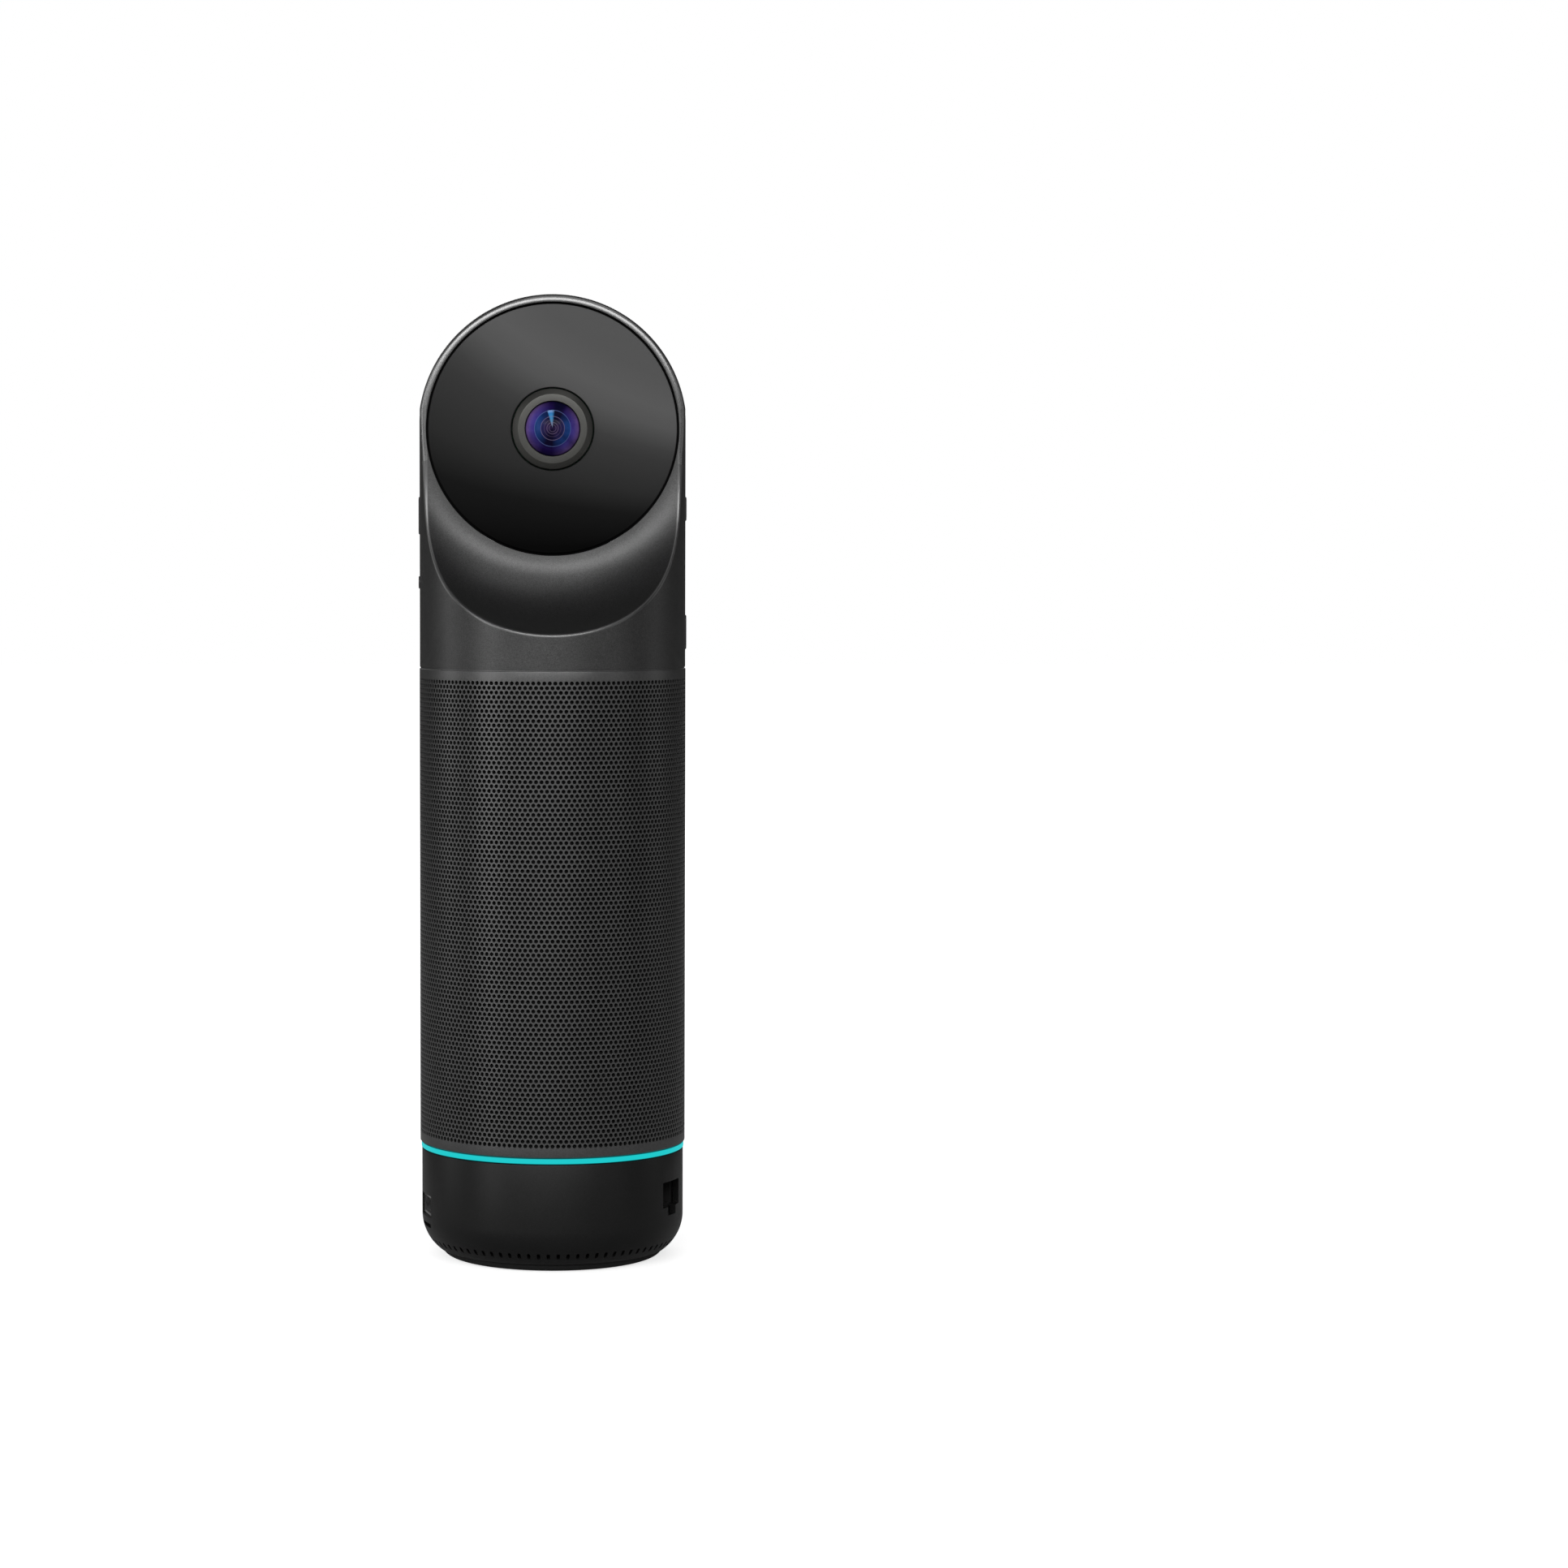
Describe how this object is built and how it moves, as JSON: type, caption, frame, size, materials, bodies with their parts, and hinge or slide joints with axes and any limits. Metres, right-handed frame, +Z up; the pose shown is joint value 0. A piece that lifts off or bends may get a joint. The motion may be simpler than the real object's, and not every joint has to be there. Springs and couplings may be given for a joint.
{
  "type": "conference camera",
  "caption": "Free-standing round camera tower: slim arched head with a wide-angle lens on each face, flared neck, perforated speaker sleeve, glowing ring and rounded base with ports.",
  "frame": {"origin": "on the surface that it stands on, under the middle of the tower", "axes": "+Z up the tower; -Y the way the front lens looks; +X to the right seen from the front"},
  "size_m": [0.0926, 0.092, 0.3324],
  "materials": {
    "shell": "fine-grained satin dark grey",
    "base": "fine-grained satin near-black",
    "face": "smooth satin dark grey",
    "lens_ring": "satin dark grey",
    "lens_glass": "violet and blue anti-reflection coating",
    "grille": "satin dark perforated sheet",
    "cloth": "black acoustic cloth",
    "light": "translucent teal light guide, glowing",
    "buttons": "satin black",
    "rubber": "matte black",
    "plastic": "moulded black",
    "circuit_board": "green solder mask",
    "steel": "plated sheet",
    "aluminium": "plain",
    "brass": "plain",
    "cone": "black paper-like cone"
  },
  "bodies": {
    "tower": {"head_shell": "shell", "base_shell": "base", "front_face_disc": "face", "rear_face_disc": "face", "front_lens_ring": "lens_ring", "rear_lens_ring": "lens_ring", "front_lens_dome": "lens_glass", "rear_lens_dome": "lens_glass", "front_lens_barrel": "plastic", "rear_lens_barrel": "plastic", "front_sensor_board": "circuit_board", "rear_sensor_board": "circuit_board", "camera_bracket": "aluminium", "left_button_board": "circuit_board", "right_button_board": "circuit_board", "neck_frame": "plastic", "microphone_board": "circuit_board", "grille": "grille", "acoustic_cloth": "cloth", "grille_cage": "plastic", "speaker_enclosure": "plastic", "driver_basket": "steel", "driver_magnet": "steel", "radiator_frame": "plastic", "sound_reflector": "plastic", "lower_frame": "plastic", "light_ring": "light", "led_board": "circuit_board", "fan_frame": "plastic", "heat_sink": "aluminium", "processor": "plastic", "main_board": "circuit_board", "network_socket": "plastic", "usb_a_socket": "steel", "usb_c_socket": "steel", "hdmi_in_socket": "steel", "hdmi_out_socket": "steel", "power_socket": "plastic", "audio_socket": "plastic", "card_socket": "steel", "board_stud_1": "brass", "board_stud_2": "brass", "board_stud_3": "brass", "board_stud_4": "brass", "cover_screw_1": "steel", "cover_screw_2": "steel", "cover_screw_3": "steel", "cover_screw_4": "steel", "bottom_cover": "plastic", "tripod_bush": "brass", "foot_pad": "rubber"},
    "volume_rocker": {"volume_rocker": "buttons"},
    "mute_button": {"mute_button": "buttons"},
    "mode_button": {"mode_button": "buttons"},
    "power_button": {"power_button": "buttons"},
    "fan_rotor": {"fan_rotor": "plastic"},
    "driver_cone": {"driver_cone": "cone"},
    "passive_radiator": {"passive_radiator": "rubber"}
  },
  "joints": [
    {"name": "volume_rock", "type": "hinge", "parent": "tower", "child": "volume_rocker", "pos_m": [-0.04415, 0, 0.257], "axis": [0, 1, 0], "range_deg": [-2.5, 2.5], "stiffness_Nm_per_rad": 0.17},
    {"name": "mute_press", "type": "slide", "parent": "tower", "child": "mute_button", "axis": [1, 0, 0], "range_m": [0, 0.0005], "stiffness_N_per_m": 3000},
    {"name": "mode_press", "type": "slide", "parent": "tower", "child": "mode_button", "axis": [-1, 0, 0], "range_m": [0, 0.0005], "stiffness_N_per_m": 3000},
    {"name": "power_press", "type": "slide", "parent": "tower", "child": "power_button", "axis": [-1, 0, 0], "range_m": [0, 0.0005], "stiffness_N_per_m": 3000},
    {"name": "fan_spin", "type": "hinge", "parent": "tower", "child": "fan_rotor", "pos_m": [0, 0, 0.0348], "axis": [0, 0, 1], "continuous": true},
    {"name": "cone_stroke", "type": "slide", "parent": "tower", "child": "driver_cone", "axis": [0, 0, 1], "range_m": [-0.002, 0.002], "stiffness_N_per_m": 1500},
    {"name": "radiator_stroke", "type": "slide", "parent": "tower", "child": "passive_radiator", "axis": [0, 0, 1], "range_m": [-0.0025, 0.0025], "stiffness_N_per_m": 900}
  ]
}
